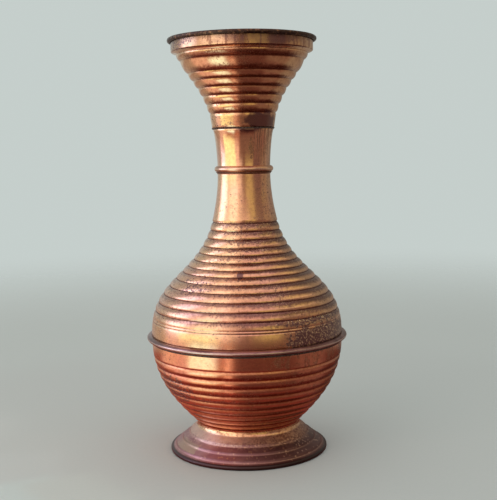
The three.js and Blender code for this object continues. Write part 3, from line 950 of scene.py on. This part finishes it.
assign(make_foot(), foot_patina)
assign(make_bowl(), bowl_brass)
assign(make_shoulder(), shoulder_brass)
assign(make_neck_tube(), neck_brass)
assign(make_mouth(), mouth_brass)
belly_ring = make_ring(
    "belly_ring", BELLY_RING_REACH, BELLY_RING_LOW, BELLY_RING_HIGH, BELLY_RADIUS, shape=1.0
)
assign(belly_ring, belly_ring_brass)
neck_ring = make_ring(
    "neck_ring", NECK_RING_REACH, NECK_RING_LOW, NECK_RING_HIGH, NECK_RADIUS, shape=1.5
)
assign(neck_ring, neck_ring_brass)
assign(make_solder("belly_solder", BELLY_RADIUS, BELLY_RING_LOW, leg=1.0), solder)
assign(make_solder("neck_solder", NECK_RADIUS, NECK_RING_LOW, leg=1.0), clean_solder)
assign(make_solder("collar_solder", NECK_TOP_RADIUS, COLLAR, leg=0.6), solder)
assign(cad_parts["foot_solder"], solder)
assign(make_wire("foot_wire", FOOT_CENTRE), wire_iron)
assign(make_wire("rim_wire", RIM_CENTRE), wire_iron)


# Camera, at the photograph's angle: it looks 6 degrees down, and the vase leans a degree in its frame
LENS = 67.5
CAMERA_PLACE = (0.0023, -0.6955, 0.223)
LOOKS_DOWN = 6.02
ROLL = 1.03

FLOOR_RADIUS = 4.0
FLOOR_FADE = 450.0, 1500.0  # where the floor fades out, in millimetres from the vase
PAPER = (0.66, 0.65, 0.63), (0.70, 0.69, 0.67)
WORLD = (0.56, 0.62, 0.60)
LAMPS_AIM = 0.18
DOME_RADIUS = 2.2
TABLE_RADIUS = 2.1
TABLE_HEIGHT = 0.0004
SCREENS_HEIGHT = 180.0  # from which the screens' elevations are measured, in millimetres


def make_camera():
    camera = bpy.data.objects.new("camera", bpy.data.cameras.new("camera"))
    scene.collection.objects.link(camera)
    camera.data.lens = LENS
    camera.location = CAMERA_PLACE
    camera.rotation_mode = "QUATERNION"
    tilt = Vector((1, 0, 0)), math.radians(90 - LOOKS_DOWN)
    camera.rotation_quaternion = Quaternion(*tilt) @ Quaternion((0, 0, 1), math.radians(-ROLL))
    scene.camera = camera


def make_floor():
    bpy.ops.mesh.primitive_circle_add(vertices=96, radius=FLOOR_RADIUS, fill_type="NGON")
    floor = bpy.context.object
    floor.name = "floor"
    s = Shader("floor_paper")
    grain = s.noise(0.4, 4.0, 0.6)
    s.finish(s.mix(grain, *PAPER), roughness=0.75, metallic=0.0, height=grain, strength=0.05)
    s.set(s.surface.inputs["Specular IOR Level"], 0.2)
    clear = s.add("ShaderNodeBsdfTransparent").outputs[0]
    away = s.ease(s.radius, *FLOOR_FADE)
    mixed = s.add("ShaderNodeMixShader", _0=away, _1=s.surface.outputs[0], _2=clear)
    s.set(s.tree.nodes["Material Output"].inputs["Surface"], mixed.outputs[0])
    assign(floor, s.material)


def make_world():
    world = bpy.data.worlds.new("world")
    scene.world = world
    world.use_nodes = True
    world.node_tree.nodes["Background"].inputs["Color"].default_value = (*WORLD, 1.0)


def softbox(name, bearing, rise, width, height, away, radiance, colour):
    """An area lamp that faces the vase, at a bearing from the front, in degrees, and a rise in metres."""
    data = bpy.data.lights.new(name, "AREA")
    data.shape = "RECTANGLE"
    data.size, data.size_y = width, height
    data.energy = radiance * math.pi * width * height
    data.color = colour
    lamp = bpy.data.objects.new(name, data)
    scene.collection.objects.link(lamp)
    turn = math.radians(bearing)
    lamp.location = (away * math.sin(turn), -away * math.cos(turn), rise)
    aim = Vector((0, 0, LAMPS_AIM)) - lamp.location
    lamp.rotation_euler = aim.to_track_quat("-Z", "Y").to_euler()
    lamp.visible_glossy = False


# The studio's screens, as the metal sees them: bearings from the front, to the right, elevations from
# SCREENS_HEIGHT on the axis, width of the soft edge (all in degrees), and brightness
WALL = (0.56, 0.64, 0.62)
SCREENS = (
    (-180, 180, 36, 100, 8, (0.79, 0.72, 0.71)),  # ceiling
    (0, 180, 24, 100, 14, (0.84, 0.66, 0.68)),  # ceiling, shaded half
    (100, 180, 30, 75, 12, (0.44, 0.37, 0.32)),  # ceiling, far corner
    (112, 178, -12, 44, 9, (0.30, 0.29, 0.25)),  # dark corner
    (-108, 108, -12, 24, 6, (0.32, 0.21, 0.15)),  # dim front
    (50, 112, 28, 56, 9, (0.75, 0.70, 0.40)),  # ceiling lamp
    (7, 42, -12, 26, 4, (0.66, 0.60, 0.30)),  # lamp side
    (42, 76, -12, 20, 4, (0.23, 0.16, 0.15)),  # dark door
    (78, 112, -12, 20, 5, (0.37, 0.32, 0.23)),  # side wall
    (-44, 16, 18, 84, 10, (1.02, 0.80, 0.76)),  # top of the wide screen
    (-82, -9, -12, 66, 5, (1.04, 0.88, 0.77)),  # wide screen
    (-65, -26, -12, 60, 5, (1.75, 1.72, 1.68)),  # its middle
    (-110, -77, -12, 18, 6, (2.6, 2.9, 3.6)),  # window
    (-106, -77, 18, 52, 6, (2.1, 2.2, 2.9)),  # its upper panes
    (-180, 180, 64, 100, 10, (1.10, 0.95, 0.98)),  # ceiling overhead
    (-180, 180, -100, -5, 1, (0.11, 0.04, 0.03)),  # table
    (-18, 98, -100, -5, 6, (0.14, 0.062, 0.056)),  # table, front
    (56, 96, -60, -5, 8, (0.235, 0.135, 0.12)),  # table, right
    (48, 112, -24, -5, 8, (0.24, 0.165, 0.135)),  # table, far right
    (-18, 112, -13, -5, 6, (0.25, 0.155, 0.13)),  # table, far front
    (-180, -104, -100, -5, 6, (0.33, 0.115, 0.085)),  # table, left
    (-106, -15, -60, -5, 6, (0.54, 0.24, 0.17)),  # table by the window
    (-113, -70, -41, -5, 7, (1.0, 0.74, 0.66)),  # its far part
    (100, 180, -26, -5, 8, (0.31, 0.29, 0.25)),  # past the table, right
    (-180, -108, -27, -5, 8, (0.50, 0.46, 0.40)),  # past the table, left
    (-88, -33, -52, -18, 3, (0.94, 0.66, 0.62)),  # lit table
    (-66, -33, -50, -16, 3, (1.5, 2.1, 2.0)),  # sun on the table
    (-64, -33, -58, -46, 3, (1.20, 1.10, 0.80)),  # its low edge
    (-40, -17, -9, -0.5, 4, (1.2, 0.95, 0.85)),  # pale thing behind it
    (-86, -35, -9, -0.5, 4, (1.8, 2.1, 1.25)),  # bright thing behind it
    (-180, 180, -100, -62, 6, (0.18, 0.052, 0.045)),  # cloth by the foot
    (-130, -12, -100, -56, 8, (0.38, 0.10, 0.08)),  # cloth, window side
    (-23, -16, -58, -22, 2, (1.2, 0.88, 0.72)),  # narrow ray of sun
)


def studio_material():
    s = Shader("studio_screens")
    rise = s.math("ARCTAN2", s.minus(s.z, SCREENS_HEIGHT), s.radius)
    elevation = s.times(rise, 180 / math.pi)
    colour = WALL
    for left, right, low, high, soft, bright in SCREENS:
        lit = 1.0
        if right - left < 360:
            from_left = s.ease(s.bearing, left - soft, left + soft)
            lit = s.times(from_left, s.ease(s.bearing, right + soft, right - soft))
        lit = s.times(lit, s.ease(elevation, low - soft / 2, low + soft / 2))
        lit = s.times(lit, s.ease(elevation, high + soft / 2, high - soft / 2))
        colour = s.mix(lit, colour, bright)
    glow = s.add("ShaderNodeEmission", Color=colour)
    s.set(s.tree.nodes["Material Output"].inputs["Surface"], glow.outputs[0])
    return s.material


def make_studio():
    """A dome and a table top that only reflections see."""
    bpy.ops.mesh.primitive_uv_sphere_add(segments=48, ring_count=24, radius=DOME_RADIUS)
    dome = bpy.context.object
    bpy.ops.mesh.primitive_circle_add(
        vertices=64, radius=TABLE_RADIUS, fill_type="NGON", location=(0, 0, TABLE_HEIGHT)
    )
    table = bpy.context.object
    material = studio_material()
    for name, piece in (("studio_dome", dome), ("studio_table", table)):
        piece.name = name
        assign(piece, material)
        for ray in ("camera", "diffuse", "shadow", "transmission", "volume_scatter"):
            setattr(piece, "visible_" + ray, False)


make_camera()
make_floor()
make_world()
make_studio()
softbox("key", -42, 0.75, 0.9, 0.9, away=1.35, radiance=1.1, colour=(1.0, 0.96, 0.92))
softbox("fill", 40, 0.8, 0.9, 0.9, away=1.5, radiance=0.5, colour=(1.0, 0.97, 0.92))
